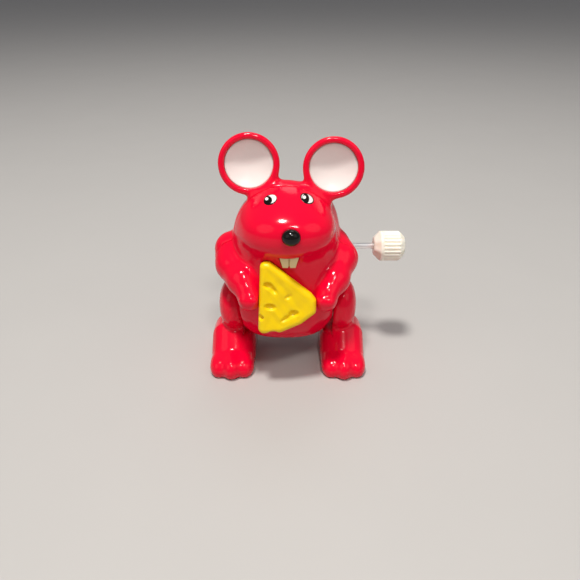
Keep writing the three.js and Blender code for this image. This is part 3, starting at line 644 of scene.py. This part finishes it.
# --------------------------------------------------------------- printed eyes
VIEW = np.array([0.62, -140.4, 101.3])  # the point that the eye drawings are measured from
AHEAD, UP, ACROSS = np.array([0, math.cos(math.radians(30)), -0.5]), np.array([0, 0.5, math.cos(math.radians(30))]), np.array([1.0, 0, 0])
REACH = 143.2


def on_face(a, b, lift):
    """Points at a across and b up, at REACH from VIEW, dropped onto the face and lifted off it."""
    ray = AHEAD * REACH + ACROSS * np.asarray(a)[:, None] + UP * np.asarray(b)[:, None]
    ray /= np.linalg.norm(ray, axis=-1)[:, None]
    t = np.full(len(ray), 118.0)
    for _ in range(60):
        t = t + 0.8 * shell(VIEW + ray * t[:, None], True)
    P = VIEW + ray * t[:, None]
    e = 0.02
    n = np.stack([shell(P + e * np.eye(3)[k], True) - shell(P - e * np.eye(3)[k], True) for k in range(3)], -1)
    n /= np.linalg.norm(n, axis=-1)[:, None]
    return P + n * lift


def print_patch(name, centre, axes, deg, layer, mat, slot_name, clip=None):
    """A thin printed ellipse that follows the face; clip is not used."""
    n, m = 56, 9
    c, s = math.cos(math.radians(deg)), math.sin(math.radians(deg))
    pts = [(0.0, 0.0)]
    for k in range(1, m + 1):
        for i in range(n):
            a = 2 * math.pi * i / n
            pts.append((axes[0] * k / m * math.cos(a), axes[1] * k / m * math.sin(a)))
    pts = np.array(pts)
    a = centre[0] + pts[:, 0] * c - pts[:, 1] * s
    b = centre[1] + pts[:, 0] * s + pts[:, 1] * c
    top = on_face(a, b, 0.02 + 0.022 * layer)
    base = on_face(a, b, -0.05)
    verts = np.concatenate([top, base])
    faces, N = [], len(pts)
    for i in range(n):
        j = (i + 1) % n
        faces.append((0, 1 + i, 1 + j))
        faces.append((N, N + 1 + j, N + 1 + i))
        for k in range(m - 1):
            p = 1 + k * n
            faces.append((p + i, p + n + i, p + n + j, p + j))
            faces.append((N + p + j, N + p + n + j, N + p + n + i, N + p + i))
        p = 1 + (m - 1) * n
        faces.append((p + i, N + p + i, N + p + j, p + j))
    ob = mesh_object(name, verts, faces)
    ob.data.materials.append(mat)
    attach(ob, "housing")
    return ob


EYES = {
    "right": (
        ((-4.86, 22.24), (1.72, 1.25), 24, 0, BLACK, "nose_black"),
        ((-4.66, 22.4), (1.38, 1.0), 24, 1, WHITE, "ear_white"),
        ((-5.36, 22.16), (0.95, 1.0), 24, 2, BLACK, "nose_black"),
        ((-5.72, 22.42), (0.42, 0.36), 24, 3, WHITE, "ear_white"),
    ),
    "left": (
        ((4.2, 22.52), (1.82, 1.2), -30, 0, BLACK, "nose_black"),
        ((4.25, 22.53), (1.53, 0.97), -30, 1, WHITE, "ear_white"),
        ((3.86, 22.52), (0.86, 1.18), 8, 2, BLACK, "nose_black"),
        ((3.52, 22.82), (0.42, 0.42), 0, 3, WHITE, "ear_white"),
    ),
}
for side, prints in EYES.items():
    for label, spec in zip(("outline", "white", "pupil", "glint"), prints):
        print_patch(f"{side}_eye_{label}", *spec)

# ---------------------------------------------------------- camera and light
def place(x, y, z):
    return (Vector((x, y, z)) + Vector(SHIFT)) * 0.001


cam_data = bpy.data.cameras.new("camera")
cam_data.sensor_width = 36
cam_data.lens = 36.06
cam = bpy.data.objects.new("camera", cam_data)
cam.location = place(0.62, -140.4, 101.3)
cam.rotation_euler = (math.radians(60), 0, 0)
cam_data.clip_start = 0.005
bpy.context.scene.collection.objects.link(cam)
bpy.context.scene.camera = cam

floor_mesh = bpy.data.meshes.new("floor")
s = 6.0
floor_mesh.from_pydata([(-s, -s, 0), (s, -s, 0), (s, s, 0), (-s, s, 0)], [], [(0, 1, 2, 3)])
floor = bpy.data.objects.new("floor", floor_mesh)
bpy.context.scene.collection.objects.link(floor)
floor_mat = material("floor_pale", (0.5, 0.485, 0.465), rough=0.6, vary=0.02, scale=30, bump=0.02)
floor.data.materials.append(floor_mat)


def area(name, direction, distance, size, power, color=(1, 1, 1), target=(0, -4, 30)):
    data = bpy.data.lights.new(name, "AREA")
    data.shape = "DISK"
    data.size = size
    data.energy = power
    data.color = color
    ob = bpy.data.objects.new(name, data)
    d = Vector(direction).normalized()
    t = place(*target)
    ob.location = t + d * distance
    ob.rotation_euler = (-d).to_track_quat("-Z", "Y").to_euler()
    bpy.context.scene.collection.objects.link(ob)
    return ob


area("key", (-0.12, -0.22, 1.0), 0.7, 0.1, 4.1, (1, 0.97, 0.93))
area("front", (0.15, -0.62, 0.95), 0.7, 0.1, 1.25, (1, 0.97, 0.94))
area("left_fill", (-0.8, -0.6, 0.7), 0.7, 0.5, 0.4, (1, 0.97, 0.93))
area("right_fill", (0.85, -0.5, 0.8), 0.7, 0.5, 0.4, (1, 0.97, 0.93))
area("back_top", (0.1, 0.6, 1.0), 0.7, 0.3, 0.5, (1, 0.97, 0.95))
bpy.context.scene.view_settings.view_transform = "Standard"
world = bpy.data.worlds.new("studio")
bpy.context.scene.world = world
world.use_nodes = True
world.node_tree.nodes["Background"].inputs["Color"].default_value = (0.93, 0.94, 1.0, 1)
world.node_tree.nodes["Background"].inputs["Strength"].default_value = 0.2
